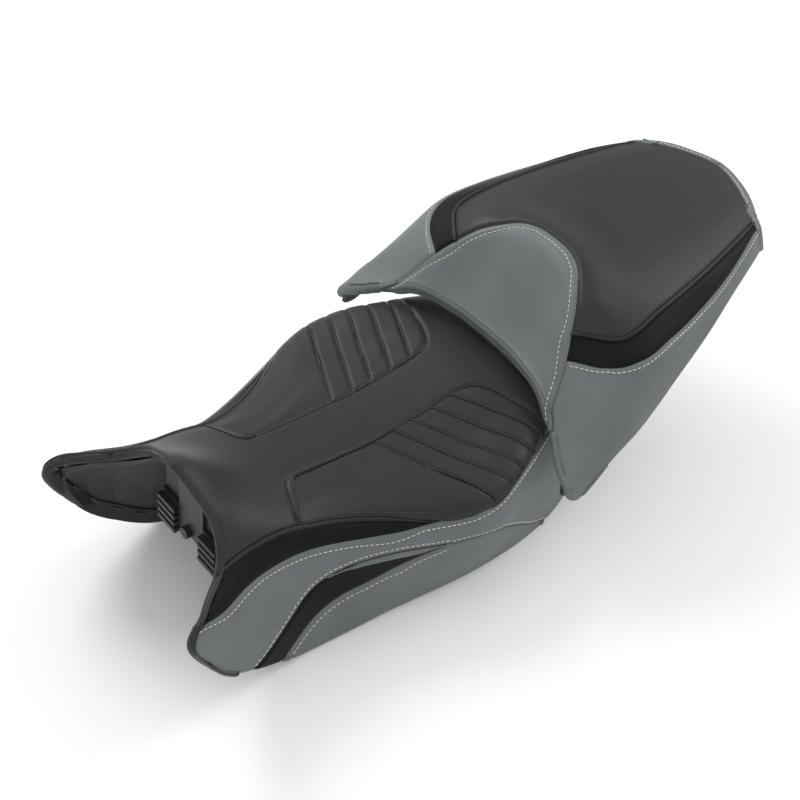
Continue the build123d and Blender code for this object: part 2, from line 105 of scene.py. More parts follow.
# Rider seat seams, drawn anew near the CAD model's. Plan points are (x, half width), side points
# are (x, height).
ARCH_TOP = [(320, 0), (316, 28), (312, 50), (316, 64), (323, 76)]
ARCH_SIDE = [(331, 153), (341, 151), (352, 149), (363, 146), (373, 142), (380, 135), (382, 125)]
WING_FRONT = [(382, 125), (375, 108), (363, 86), (345, 59), (326, 41), (312, 31)]
WELT_START, GUSSET_START = 331, 371    # where both seams meet the arch
WELT_FRONT = [(331, 84), (320, 80), (300, 76), (275, 74), (255, 73.5), (238, 74)]
WELT_MIDDLE = [(238, 74), (205, 81), (165, 98), (128, 122), (100, 137), (61, 146)]
WELT_RIBS = [(61, 146), (39, 141), (20, 135), (-1, 127), (-22, 118)]
WELT_REAR = [(-22, 118), (-36, 113), (-52, 107.5), (-68, 102)]
INSERT_FRONT = [(213, 29.5), (219, 31), (223, 36), (230, 52), (238, 74)]
INSERT_INNER = [(213, 29.5), (165, 30), (118, 31)]
CHANNELS = [((118, 31), (61, 146)), ((94, 30), (39, 141)), ((71, 30), (20, 135)), ((46, 30), (-1, 127)),
            ((22, 30), (-22, 118))]
INSERT_REAR = [(10, 31), (-1, 35), (-9, 44), (-15, 56), (-22, 74), (-29, 92), (-36, 113)]
GUSSET_EDGE = [(371, 139), (345, 138), (325, 136), (298, 133), (255, 126), (218, 120), (159, 114),
               (118, 113.5)]
STRIPE_TOP = [(110, 87), (140, 91), (169, 92), (204, 90), (228, 84), (246, 76), (263, 63), (290, 43),
              (312, 31)]
STRIPE_LOW = [(110, 87), (148, 74), (182, 63), (208, 58), (226, 51), (241, 43), (262, 26), (277, 12)]
REAR_SEAM = [(110, 87), (84, 86), (52, 77), (20, 54), (-10, 28), (-40, 8)]
FRONT_HEM = [(277, 12), (262, 5), (240, 1.5), (200, 1), (120, 1), (40, 1), (-20, 1), (-40, 8)]
STRIPE_FOOT = [(312, 31), (295, 20), (277, 12)]
REAR_EDGE = [(-68, 84), (-67, 60), (-64, 38), (-54, 18), (-40, 8)]

# Pillion seat seams, drawn anew near the CAD model's.
LIP = [(-44, 0), (-42, 40), (-38, 62), (-30, 88), (-24, 107), (-19, 123)]
WING_LIP = [(-19, 123), (-12, 136), (-5, 149), (-1, 158)]
WING_DROP = [(-1, 121), (-1, 112), (-5, 105), (-14, 102)]
BOLSTER = [(-123, 0), (-121, 22), (-114, 40), (-101, 55), (-86, 70), (-72, 82)]
BOLSTER_GUSSET = [(-72, 82), (-65, 88.5), (-58, 94)]
BOLSTER_SIDE = [(-58, 94), (-46, 102), (-34, 109), (-19, 123)]
PAD = [(-72, 82), (-79, 92), (-88, 103), (-97, 113), (-106, 118.5), (-118, 120), (-150, 117), (-230, 106),
       (-300, 92), (-344, 81)]
PAD_GUSSET = [(-58, 94), (-66, 108), (-76, 124), (-90, 137), (-108, 143.5), (-150, 141), (-200, 132),
              (-260, 117), (-344, 86)]
TAIL = [(-381, 0), (-379, 14), (-373, 32), (-364, 50), (-354, 67), (-344, 81)]
TAIL_END = [(-344, 229), (-341, 222), (-338, 208)]
PILLION_HEM = [(-14, 102), (-42, 121), (-102, 148), (-145, 174), (-203, 192), (-268, 203), (-338, 208)]

# ---- sizes of the sewing -------------------------------------------------------------------------
SKIN = 1.6             # thickness of the cover in the meshes
SEAM_DIP = 1.5         # depth of a seam below the cover around it
SEAM_WIDTH = 2.4
CHANNEL_DIP = 1.5
CHANNEL_WIDTH = 1.9
TOPSTITCH_DIP = 0.55
TOPSTITCH_WIDTH = 1.6
TOPSTITCH_INSET = 4.5  # from the seam to the row of stitches beside it
STRIPE_INSET = 6.5     # the same beside the dark stripe and inside the bolster's seam
PIPING_RADIUS = 2.3
STITCH_PITCH = 5.0
STITCH_LENGTH = 3.7
THREAD_RADIUS = 0.50
SEWING_REACH = 6.0     # how far from its curve on the form a stitch may lie
RIDER_ROLL = 4.6       # radius of the turned edge
LIP_ROLL = 5.4
TAIL_ROLL = 4.5
STRIP_WIDTH = 5.0      # nose trim, seen from above
UNTRIMMED = 40         # of the 400 points of the rim, how many at the wing's foot have no trim
TRIM_TAPER = 50        # of the trim's own 260 points, how many it narrows over at that end
BAND_WIDTH = 12.0      # grey band round the tail
# Shares along a turned edge, and the share of its turn's radius there.
BAND_SLIM = ((0, 0.06, 0.94, 1), (0.5, 1, 1, 0.5))
LIP_SLIM = ((0, 0.1, 0.9, 1), (0.3, 1, 1, 0.3))
HEM_SLIM = ((0, 0.05, 1), (0.3, 1, 1))
REAR_DROP = 10.0       # how far the cover turns down behind the rider seat
FOAM_SHEET = 3.0       # thickness of the foam under the covers in this visual model
WELD = 0.00002         # metres between points that are joined
FINE_WELD = 1e-7       # the same for threads and piping
FLOOR_GAP = 0.0005     # metres from the lowest point down to the floor


# ---- curves and forms ----------------------------------------------------------------------------
def spline(knots, values, query):
    """Smooth curve through the values at the knots, read at the query."""
    knots, values = np.asarray(knots, float), np.asarray(values, float)
    shape = (-1,) + (1,) * (values.ndim - 1)
    gap = np.diff(knots).reshape(shape)
    rise = np.diff(values, axis=0) / gap
    inner = (rise[:-1] * gap[1:] + rise[1:] * gap[:-1]) / (gap[1:] + gap[:-1])
    slope = np.concatenate([rise[:1], inner, rise[-1:]])
    i = np.clip(np.searchsorted(knots, query, side="right") - 1, 0, len(knots) - 2)
    t = ((query - knots[i]) / np.diff(knots)[i]).reshape(shape)
    h = gap[i]
    return ((2 * t**3 - 3 * t**2 + 1) * values[i] + (t**3 - 2 * t**2 + t) * h * slope[i]
            + (3 * t**2 - 2 * t**3) * values[i + 1] + (t**3 - t**2) * h * slope[i + 1])


def along(points):
    """Distance along a polyline at each of its points."""
    return np.concatenate([[0], np.cumsum(np.linalg.norm(np.diff(points, axis=0), axis=1))])


def smooth(points, count=120):
    """Smooth curve through a few points, as evenly spaced points."""
    points = np.asarray(points, float)
    reach = along(points)
    dense = spline(reach, points, np.linspace(0, reach[-1], count * 4))
    reach = along(dense)
    even = np.linspace(0, reach[-1], count)
    return np.stack([np.interp(even, reach, dense[:, k]) for k in range(dense.shape[1])], 1)


def blurred(values, sigma):
    """Gaussian smoothing along the first axis."""
    reach = int(3 * sigma)
    kernel = np.exp(-0.5 * (np.arange(-reach, reach + 1) / sigma) ** 2)
    kernel /= kernel.sum()
    padded = np.concatenate([np.repeat(values[:1], reach, 0), values, np.repeat(values[-1:], reach, 0)])
    return sum(k * padded[i:i + len(values)] for i, k in enumerate(kernel))


class Form:
    """Saddle surface of one seat. s runs across it: 0 at the crown, one unit per guide point."""

    STEP = 1.0         # lattice spacing along x
    PER_UNIT = 24      # lattice lines per unit of s
    FAIRNESS = 9.0     # smoothing along x

    def __init__(self, stations, floor, heart):
        rows = sorted(stations)
        knots = np.array([[(0, row[1]), *row[2:-1], (row[-1], floor)] for row in rows], float)
        self.x = np.arange(rows[0][0], rows[-1][0] + self.STEP / 2, self.STEP)
        self.heart = heart
        guides = blurred(spline([row[0] for row in rows], knots, self.x), self.FAIRNESS)
        self.last = guides.shape[1] - 1
        self.s = np.linspace(0, self.last, self.last * self.PER_UNIT + 1)
        self.lattice = np.stack([self.across(points) for points in guides])

    def across(self, points):
        """Section through the guide points of one station and their mirror images."""
        mirrored = points[:0:-1] * (-1, 1)
        whole = np.concatenate([mirrored, points])
        reach = along(whole)
        query = np.interp(self.s, np.arange(len(points)), reach[len(points) - 1:])
        return spline(reach, whole, query)

    def place(self, x):
        """Lattice row before each x, and the share of the way on to the next."""
        place = np.clip((x - self.x[0]) / self.STEP, 0, len(self.x) - 1.001)
        return place.astype(int), place - place.astype(int)

    def at(self, sheet):
        """Points for an array of (x, s)."""
        flat = sheet.reshape(-1, 2)
        across = np.clip(flat[:, 1] * self.PER_UNIT, 0, len(self.s) - 1.001)
        (i, t), j = self.place(flat[:, 0]), across.astype(int)
        t, w = t[:, None], (across - j)[:, None]
        grid = self.lattice
        yz = ((grid[i, j] * (1 - t) + grid[i + 1, j] * t) * (1 - w)
              + (grid[i, j + 1] * (1 - t) + grid[i + 1, j + 1] * t) * w)
        return np.concatenate([flat[:, :1], yz], 1).reshape(sheet.shape[:-1] + (3,))

    def normal(self, sheet):
        """Unit normals, pointing out of the seat, for an array of (x, s)."""
        by_x = self.at(sheet + (1.0, 0)) - self.at(sheet - (1.0, 0))
        ahead, behind = sheet + (0, 0.05), sheet - (0, 0.05)
        mirrored = behind[..., 1:] < 0
        behind = np.where(mirrored, behind * (1, -1), behind)
        back = self.at(behind)
        back = np.where(mirrored, back * (1, -1, 1), back)
        n = np.cross(by_x, self.at(ahead) - back)
        return n / np.maximum(np.linalg.norm(n, axis=-1, keepdims=True), 1e-9)

    def curve(self, points, count):
        """Smooth curve through a few points, with the form's section at each of its own points."""
        curve = smooth(points, count)
        i, t = self.place(curve[:, 0])
        t = t[:, None, None]
        return zip(curve, self.lattice[i] * (1 - t) + self.lattice[i + 1] * t)

    def plan(self, points, count=120):
        """(x, s) along a smooth curve given by (x, half width)."""
        found = []
        for (x, y), row in self.curve(points, count):
            widest = int(np.argmax(row[:, 0])) + 1
            found.append((x, np.interp(y, row[:widest, 0], self.s[:widest])))
        return np.array(found)

    def side(self, points, count=120):
        """(x, s) along a smooth curve given by (x, height)."""
        found = []
        for (x, z), row in self.curve(points, count):
            top = int(np.argmax(row[:, 1]))
            found.append((x, np.interp(-z, -row[top:, 1], self.s[top:])))
        return np.array(found)


S_SCALE = np.array([1.0, 32.0])        # about how many millimetres one unit of (x, s) spans


def joined(*curves):
    """One (x, s) curve from several that follow each other, without sharp steps between them."""
    return np.concatenate([curves[0]] + [c[1:] for c in curves[1:]])


def resampled(curve, count, spacing=None):
    reach = along(curve * S_SCALE)
    share = np.linspace(0, 1, count) if spacing is None else spacing
    if reach[-1] < 1e-9:
        return np.repeat(curve[:1], count, 0)
    return np.stack([np.interp(share * reach[-1], reach, curve[:, k]) for k in range(2)], 1)


def fair(curve, count=260, sigma=4.0):
    """The curve with even spacing and softened corners; its ends stay."""
    even = resampled(curve, count)
    soft = blurred(even, sigma)
    share = np.clip(np.minimum(np.arange(count), np.arange(count)[::-1]) / (3 * sigma), 0, 1)[:, None]
    return even * (1 - share) + soft * share


def snapped(curve, first=None, last=None, reach=0.15):
    """The curve, bent near its ends so that it starts and ends at given points."""
    share = np.linspace(0, 1, len(curve))[:, None]
    if first is not None:
        curve = curve + (first - curve[0]) * np.clip(1 - share / reach, 0, 1) ** 2
    if last is not None:
        curve = curve + (last - curve[-1]) * np.clip(1 - (1 - share) / reach, 0, 1) ** 2
    return curve


def spread(count, close=0.55):
    """Shares from 0 to 1 that lie closer together at both ends."""
    t = np.linspace(0, 1, count)
    return (1 - close) * t + close * (1 - np.cos(np.pi * t)) / 2


def coons(low, high, start=None, end=None, rows=60, columns=40):
    """(x, s) patch between two long borders; start and end join them, straight if not given."""
    u, v = spread(rows), spread(columns)
    low, high = resampled(low, rows, u), resampled(high, rows, u)
    start = np.linspace(low[0], high[0], 2) if start is None else start
    end = np.linspace(low[-1], high[-1], 2) if end is None else end
    start, end = resampled(start, columns, v), resampled(end, columns, v)
    u, v = u[:, None, None], v[None, :, None]
    corners = ((1 - u) * (1 - v) * low[0] + (1 - u) * v * high[0] + u * (1 - v) * low[-1] + u * v * high[-1])
    return (1 - v) * low[:, None] + v * high[:, None] + (1 - u) * start[None] + u * end[None] - corners


def whole_width(grid):
    """A grid whose columns start on the centre line, with its mirror image."""
    return np.concatenate([grid[:, :0:-1] * (1, -1, 1), grid], axis=1)


def distance(points, curve):
    """Distance from each point to a polyline, taken at close points along it."""
    reach = along(curve)
    even = np.linspace(0, reach[-1], max(2, int(reach[-1] / 0.8)))
    curve = np.stack([np.interp(even, reach, curve[:, k]) for k in range(3)], 1)
    flat = points.reshape(-1, 3)
    best = np.full(len(flat), 1e9)
    for i in range(0, len(flat), 2000):
        part = flat[i:i + 2000]
        gap = ((part**2).sum(1)[:, None] + (curve**2).sum(1)[None] - 2 * part @ curve.T)
        best[i:i + 2000] = np.sqrt(np.maximum(gap.min(1), 0))
    return best.reshape(points.shape[:-1])


# ---- meshes --------------------------------------------------------------------------------------
def mesh_object(name, points, faces, material):
    """Smooth-shaded mesh from millimetre points."""
    mesh = bpy.data.meshes.new(name)
    mesh.from_pydata((np.asarray(points) * 0.001).tolist(), [], faces)
    mesh.materials.append(material)
    mesh.polygons.foreach_set("use_smooth", [True] * len(mesh.polygons))
    mesh.validate()
    mesh.update()
    obj = bpy.data.objects.new(name, mesh)
    bpy.context.scene.collection.objects.link(obj)
    return obj


def grid_faces(rows, columns, offset=0, flip=False):
    i, j = np.meshgrid(np.arange(rows - 1), np.arange(columns - 1), indexing="ij")
    a = (i * columns + j).ravel() + offset
    quads = np.stack([a, a + 1, a + columns + 1, a + columns], 1)
    return quads[:, ::-1] if flip else quads


def closed_sheet(outer, inner):
    """Points and faces of a closed sheet between two grids of the same shape."""
    rows, columns = outer.shape[:2]
    count = rows * columns
    index = np.arange(count).reshape(rows, columns)
    border = np.concatenate([index[0], index[1:, -1], index[-1, -2::-1], index[-2:0:-1, 0]])
    after = np.roll(border, -1)
    walls = np.stack([border, border + count, after + count, after], 1)
    faces = np.concatenate([grid_faces(rows, columns), grid_faces(rows, columns, count, True), walls])
    points = np.concatenate([outer.reshape(-1, 3), inner.reshape(-1, 3)])
    return points, faces


def welded(obj, gap=WELD):
    """Joins the points that fall together where a patch runs to a tip."""
    bm = bmesh.new()
    bm.from_mesh(obj.data)
    bmesh.ops.remove_doubles(bm, verts=bm.verts, dist=gap)
    bmesh.ops.recalc_face_normals(bm, faces=bm.faces)
    bm.to_mesh(obj.data)
    bm.free()
    return obj


def mirror_object(obj, name):
    """The same piece on the other side of the seat."""
    mesh = obj.data.copy()
    mesh.transform(Matrix.Scale(-1, 4, (0, 1, 0)))
    mesh.flip_normals()
    other = bpy.data.objects.new(name, mesh)
    bpy.context.scene.collection.objects.link(other)
    return other


# ---- patches -------------------------------------------------------------------------------------
def beside(form, curve, width):
    """(x, s) curve at a distance from another on the form; a positive width lies to the crown's side
    of a curve that runs to the rear."""
    curve = fair(curve)
    by_x = (form.at(curve + (1.0, 0)) - form.at(curve - (1.0, 0))) / 2
    ahead, behind = curve + (0, 0.04), np.maximum(curve - (0, 0.04), (-np.inf, 0))
    by_s = (form.at(ahead) - form.at(behind)) / (ahead - behind)[:, 1:]
    n = form.normal(curve)
    tangent = np.gradient(form.at(curve), axis=0)
    way = np.cross(n, tangent)
    widths = np.interp(np.linspace(0, 1, len(curve)), np.linspace(0, 1, np.size(width)), np.atleast_1d(width))
    way *= widths[:, None] / np.maximum(np.linalg.norm(way, axis=1, keepdims=True), 1e-9)
    moved = np.empty_like(curve)
    for i in range(len(curve)):
        slope = np.stack([by_x[i], by_s[i]], 1)
        moved[i] = curve[i] + np.linalg.lstsq(slope, way[i], rcond=None)[0]
    return fair(moved)


def cloth_swell(grid, normal, fixed_rows, frames=20):
    """How far each point of a pinned cover rises under pressure, from a cloth simulation."""
    rows = np.unique(np.concatenate([np.linspace(0, len(grid) - 1, 34).astype(int), fixed_rows]).astype(int))
    columns = np.unique(np.linspace(0, grid.shape[1] - 1, 34).astype(int))
    coarse, ahead = grid[np.ix_(rows, columns)], normal[np.ix_(rows, columns)]
    obj = mesh_object("swell", coarse.reshape(-1, 3), grid_faces(len(rows), len(columns)).tolist(), None)
    pins = np.zeros(coarse.shape[:2], bool)
    pins[[0, -1]] = pins[:, [0, -1]] = True
    pins[np.isin(rows, fixed_rows)] = True
    group = obj.vertex_groups.new(name="pins")
    group.add(np.flatnonzero(pins.ravel()).tolist(), 1.0, "REPLACE")
    cloth = obj.modifiers.new("cloth", "CLOTH")
    cloth.settings.vertex_group_mass = "pins"
    cloth.settings.quality = 4
    cloth.settings.mass = 0.4
    cloth.settings.tension_stiffness = cloth.settings.compression_stiffness = 12
    cloth.settings.bending_stiffness = 30
    cloth.settings.use_pressure = True
    cloth.settings.uniform_pressure_force = 4.0
    cloth.settings.effector_weights.gravity = 0
    for number in range(1, frames + 1):
        bpy.context.scene.frame_set(number)
    shaped = obj.evaluated_get(bpy.context.evaluated_depsgraph_get())
    co = np.empty(len(coarse.reshape(-1, 3)) * 3)
    shaped.data.vertices.foreach_get("co", co)
    rise = ((co.reshape(coarse.shape) * 1000 - coarse) * ahead).sum(2)
    mesh = obj.data
    bpy.data.objects.remove(obj)
    bpy.data.meshes.remove(mesh)
    bpy.context.scene.frame_set(1)
    if rise.sum() < 0:
        rise = -rise
    rise = blurred(blurred(np.maximum(rise, 0), 1.6).T, 1.6).T * ~pins
    wide = np.stack([np.interp(np.arange(grid.shape[1]), columns, line) for line in rise])
    return np.stack([np.interp(np.arange(grid.shape[0]), rows, wide[:, k]) for k in range(grid.shape[1])], 1)


def dome(rows, columns):
    u, v = np.linspace(-1, 1, rows)[:, None], np.linspace(-1, 1, columns)[None]
    return (1 - u**4) * (1 - v**4)


class Patch:
    """One cover panel: a grid of points on its form, with a height above it."""

    def __init__(self, form, sheet, full=False):
        self.form = form
        self.grid, self.normal = form.at(sheet), form.normal(sheet)
        if full:
            self.grid, self.normal = whole_width(self.grid), whole_width(self.normal)
        crossed = np.cross(np.gradient(self.grid, axis=0), np.gradient(self.grid, axis=1))
        self.sign = 1.0 if (crossed * self.normal).sum() > 0 else -1.0
        self.height = np.zeros(self.grid.shape[:2])
        self.sunk = np.zeros(self.grid.shape[:2])

    def unit_normals(self, grid):
        n = np.cross(np.gradient(grid, axis=0), np.gradient(grid, axis=1)) * self.sign
        length = np.linalg.norm(n, axis=2, keepdims=True)
        weak = length[..., 0] < 1e-4
        n = n / np.maximum(length, 1e-9)
        if weak.any() and (~weak).any():
            good = np.argwhere(~weak)
            for i, j in np.argwhere(weak):
                k = np.argmin(((good - (i, j)) ** 2).sum(1))
                n[i, j] = n[tuple(good[k])]
        return n

    def swell(self, amount, fixed_rows=()):
        """Lets the panel swell between its borders and the fixed rows; amount per stretch."""
        stops = [0, *fixed_rows, len(self.grid) - 1]
        amounts = np.broadcast_to(amount, (len(stops) - 1,))
        rise = cloth_swell(self.grid, self.normal, np.array(fixed_rows, int))
        for first, last, most in zip(stops[:-1], stops[1:], amounts):
            part = slice(first, last + 1)
            bump = dome(last + 1 - first, self.grid.shape[1]) if rise is None else rise[part]
            top = np.percentile(bump, 98)
            if top > 1e-6:
                self.height[part] += most * np.clip(bump / top, 0, 1.05)
        return self

    def edge(self, side):
        grid = self.grid
        return {"start": grid[0], "end": grid[-1], "low": grid[:, 0], "high": grid[:, -1]}[side]

    def dip(self, curve, depth, width):
        """Groove along a curve."""
        if isinstance(curve, str):
            curve = self.edge(curve)
        elif curve.shape[1] == 2:
            curve = self.form.at(curve)
        self.sunk = np.maximum(self.sunk, depth * np.exp(-(distance(self.grid, curve) / width) ** 2))
        return self

    def flattened(self, curve, width):
        """Takes the swelling away under a strip of this width beside a curve, and eases it in beyond."""
        self.height *= np.clip(distance(self.grid, curve) / width - 1, 0, 1)
        return self

    def seams(self, *sides):
        for side in sides:
            self.dip(side, SEAM_DIP, SEAM_WIDTH)
        return self

    def raised(self):
        return self.grid + self.normal * (self.height - self.sunk)[..., None]

    def turned(self, grid, side, radius, tuck, drop=0.0, back=0.0, slim=((0, 1), (1, 1))):
        """Adds rows that turn a free edge round and under. drop lengthens the turned side downward
        where the edge is high, less where it comes down to its lowest point,
        back keeps it behind a strip, and slim is (shares along the edge, share of the radius)."""
        view = {"start": grid[::-1], "end": grid, "high": grid.transpose(1, 0, 2)}[side].copy()
        n = {"start": self.normal[0], "end": self.normal[-1], "high": self.normal[:, -1]}[side]
        tangent = blurred(np.gradient(view[-1], axis=0), 1.5)
        out = np.cross(n, tangent)
        out /= np.maximum(np.linalg.norm(out, axis=1, keepdims=True), 1e-9)
        out *= np.sign((out * (view[-1] - view[max(len(view) - 4, 0)])).sum())
        slimmed = np.interp(np.linspace(0, 1, view.shape[1]), *slim)[:, None]
        radius = radius * slimmed
        left = np.cumsum(np.linalg.norm(np.diff(view[::-1], axis=0), axis=2), axis=0)
        left = np.concatenate([np.zeros((1, view.shape[1])), left])[::-1]
        reach = np.maximum(np.minimum(3 * radius[:, 0] + back, 0.8 * left[0]), 1e-6)
        pull = (radius[:, 0] + back) * np.clip(1 - left / reach, 0, 1) ** 2
        view -= out[None] * pull[..., None]
        centre = view[-1] - n * radius
        added = []
        level = view[-1][:, 2:] - view[-1][:, 2].min()
        down = np.array([0, 0, -1.0]) * drop * np.clip(level / max(0.6 * level.max(), 1e-6), 0, 1)
        for angle in np.linspace(0, math.pi, 11)[1:]:
            point = centre + radius * (n * math.cos(angle) + out * math.sin(angle))
            if drop and abs(angle - math.pi / 2) < 1e-6:
                added += [point + down * k / 6 for k in range(6)]
            added.append(point + (down if angle > math.pi / 2 - 1e-6 else 0))
        added += [added[-1] - out * tuck * k / 3 for k in (1, 2, 3)]
        view = np.concatenate([view, np.array(added)])
        return {"start": view[::-1], "end": view, "high": view.transpose(1, 0, 2)}[side]

    def build(self, name, finish, turn=None):
        """Closed mesh of the panel. turn gives the free edge and how it is turned under."""
        outer = self.raised()
        if turn:
            outer = self.turned(outer, **turn)
        self.outer = outer
        inner = outer - self.unit_normals(outer) * SKIN
        points, faces = closed_sheet(outer, inner)
        return welded(mesh_object(name, points, faces.tolist(), MATERIALS[finish]))


# ---- sewing --------------------------------------------------------------------------------------
def surface_tree(*patches):
    """Search tree over the outer faces of panels."""
    points, faces = [], []
    for patch in patches:
        rows, columns = patch.outer.shape[:2]
        faces += grid_faces(rows, columns, len(points)).tolist()
        points += patch.outer.reshape(-1, 3).tolist()
    return BVHTree.FromPolygons(points, faces)


def on_surface(tree, form, curve):
    """Points and normals where a curve of the form lies on finished panels."""
    found = []
    for p in form.at(curve):
        near, n, _, gap = tree.find_nearest(Vector(p))
        outward = Vector((0, near.y, near.z - form.heart))
        if gap < SEWING_REACH:
            found.append((*near, *(n if n.dot(outward) > 0 else -n)))
    found = np.array(found)
    return found[:, :3], found[:, 3:]


def stitch_mesh(rows):
    """Points and faces of separate stitches. Each row is (centres, tangents, normals)."""
    shares = np.array([-1.0, -0.8, -0.35, 0.35, 0.8, 1.0])
    widths = np.array([0.25, 0.8, 1.0, 1.0, 0.8, 0.25])
    turns = np.arange(6) * math.pi / 3
    points, faces = [], []
    for centres, tangents, ups in rows:
        sides = np.cross(tangents, ups)
        for c, t, n, b in zip(centres, tangents, ups, sides):
            first = len(points)
            for share, wide in zip(shares, widths):
                lift = 0.42 - 0.75 * share**4
                at = c + t * share * STITCH_LENGTH / 2 + n * lift
                points += [at + THREAD_RADIUS * wide * (b * math.cos(a) + n * math.sin(a)) for a in turns]
            for ring in range(5):
                low = first + ring * 6
                faces += [(low + k, low + (k + 1) % 6, low + 6 + (k + 1) % 6, low + 6 + k) for k in range(6)]
            faces += [tuple(first + k for k in range(5, -1, -1)), tuple(first + 30 + k for k in range(6))]
    return points, faces


def read_along(values, reach, places):
    """Values of a curve's points, read at distances along it."""
    return np.stack([np.interp(places, reach, values[:, k]) for k in range(3)], 1)


def sew(name, panels, form, curves, thread, body, ends):
    """Rows of stitches on panels, along curves of the form, on the left side and the right."""
    tree = surface_tree(*panels)
    flip = np.array([1, -1, 1])
    rows = []
    for curve in curves:
        surface, up = on_surface(tree, form, curve)
        reach = along(surface)
        count = int((reach[-1] - 2 * ends) / STITCH_PITCH) + 1
        if count < 1:
            continue
        places = ends + np.arange(count) * STITCH_PITCH
        centres, ups = read_along(surface, reach, places), read_along(up, reach, places)
        tangents = read_along(surface, reach, places + 1) - read_along(surface, reach, places - 1)
        tangents /= np.maximum(np.linalg.norm(tangents, axis=1, keepdims=True), 1e-9)
        ups -= tangents * (ups * tangents).sum(1, keepdims=True)
        ups /= np.linalg.norm(ups, axis=1, keepdims=True)
        rows += [(centres, tangents, ups), (centres * flip, tangents * flip, ups * flip)]
    points, faces = stitch_mesh(rows)
    obj = welded(mesh_object(name, points, faces, MATERIALS[thread]), FINE_WELD)
    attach(obj, body)


def tube(name, centres, ups, radius, finish, around=12):
    """Tube along points; radius may change along it."""
    tangents = np.gradient(centres, axis=0)
    tangents /= np.linalg.norm(tangents, axis=1, keepdims=True)
    ups = ups - tangents * (ups * tangents).sum(1, keepdims=True)
    ups /= np.linalg.norm(ups, axis=1, keepdims=True)
    sides = np.cross(tangents, ups)
    radius = np.broadcast_to(radius, (len(centres),))[:, None, None]
    turns = np.arange(around) * 2 * math.pi / around
    ring = ups[:, None] * np.sin(turns)[None, :, None] + sides[:, None] * np.cos(turns)[None, :, None]
    points = (centres[:, None] + radius * ring).reshape(-1, 3)
    faces = []
    for i in range(len(centres) - 1):
        low = i * around
        faces += [(low + k, low + (k + 1) % around, low + around + (k + 1) % around, low + around + k)
                  for k in range(around)]
    top = (len(centres) - 1) * around
    faces += [tuple(range(around - 1, -1, -1)), tuple(top + k for k in range(around))]
    return welded(mesh_object(name, points, faces, MATERIALS[finish]), FINE_WELD)


# ---- materials -----------------------------------------------------------------------------------
def node_tree(name):
    material = bpy.data.materials.new(name)
    material.use_nodes = True
    tree = material.node_tree
    return material, tree, tree.nodes["Principled BSDF"]


def add(tree, kind, inputs=(), **settings):
    """Adds a node; inputs are (socket, value or output socket) pairs."""
    node = tree.nodes.new(kind)
    for key, value in settings.items():
        setattr(node, key, value)
    for socket, value in inputs:
        if isinstance(value, bpy.types.NodeSocket):
            tree.links.new(value, node.inputs[socket])
        else:
            node.inputs[socket].default_value = value
    return node


def shades(tree, driver, dark, light, low=0.35, high=0.65):
    ramp = add(tree, "ShaderNodeValToRGB", [("Fac", driver)])
    ramp.color_ramp.elements[0].position, ramp.color_ramp.elements[1].position = low, high
    ramp.color_ramp.elements[0].color, ramp.color_ramp.elements[1].color = (*dark, 1), (*light, 1)
    return ramp.outputs["Color"]


def textured(name, colour, roughness, grain, depth, variation=0.08, metallic=0.0, woven=0.0, sheen=0.0,
             mirror=0.5):
    """Moulded or coated surface: fine grain in the bump, uneven colour and gloss."""
    material, tree, shader = node_tree(name)
    place = add(tree, "ShaderNodeTexCoord").outputs["Object"]
    cells = add(tree, "ShaderNodeTexVoronoi", [("Vector", place), ("Scale", 1 / grain)])
    fine = add(tree, "ShaderNodeTexNoise", [("Vector", place), ("Scale", 0.45 / grain), ("Detail", 5.0)])
    broad = add(tree, "ShaderNodeTexNoise", [("Vector", place), ("Scale", 14.0), ("Detail", 3.0)])
    height = add(tree, "ShaderNodeMath", [(0, cells.outputs["Distance"]), (1, fine.outputs["Fac"])],
                 operation="ADD").outputs[0]
    if woven:
        for axis in ("X", "Y"):
            wave = add(tree, "ShaderNodeTexWave", bands_direction=axis,
                       inputs=[("Vector", place), ("Scale", 0.5 / woven), ("Distortion", 0.6)])
            height = add(tree, "ShaderNodeMath", [(0, wave.outputs["Fac"]), (1, 0.5), (2, height)],
                         operation="MULTIPLY_ADD").outputs[0]
    bump = add(tree, "ShaderNodeBump", [("Height", height), ("Strength", 0.5), ("Distance", depth)])
    colour = np.array(colour)
    mixed = shades(tree, broad.outputs["Fac"], colour * (1 - variation), colour * (1 + variation))
    gloss = add(tree, "ShaderNodeMapRange", [
        ("Value", fine.outputs["Fac"]), ("From Min", 0.3), ("From Max", 0.7),
        ("To Min", roughness - 0.05), ("To Max", roughness + 0.07)])
    tree.links.new(mixed, shader.inputs["Base Color"])
    tree.links.new(gloss.outputs["Result"], shader.inputs["Roughness"])
    tree.links.new(bump.outputs["Normal"], shader.inputs["Normal"])
    shader.inputs["Metallic"].default_value = metallic
    shader.inputs["Specular IOR Level"].default_value = mirror
    shader.inputs["Sheen Weight"].default_value = sheen
    shader.inputs["Sheen Roughness"].default_value = 0.5
    return material


def twisted_thread(name, colour):
    """Sewing thread with the slanted strands of its twist."""
    material, tree, shader = node_tree(name)
    place = add(tree, "ShaderNodeTexCoord").outputs["Object"]
    strands = add(tree, "ShaderNodeTexWave", [("Vector", place), ("Scale", 700.0), ("Distortion", 1.5)],
                  bands_direction="DIAGONAL")
    bump = add(tree, "ShaderNodeBump", [
        ("Height", strands.outputs["Fac"]), ("Strength", 0.6), ("Distance", 0.0001)])
    colour = np.array(colour)
    tree.links.new(shades(tree, strands.outputs["Fac"], colour * 0.8, colour), shader.inputs["Base Color"])
    tree.links.new(bump.outputs["Normal"], shader.inputs["Normal"])
    shader.inputs["Roughness"].default_value = 0.75
    shader.inputs["Sheen Weight"].default_value = 0.3
    return material


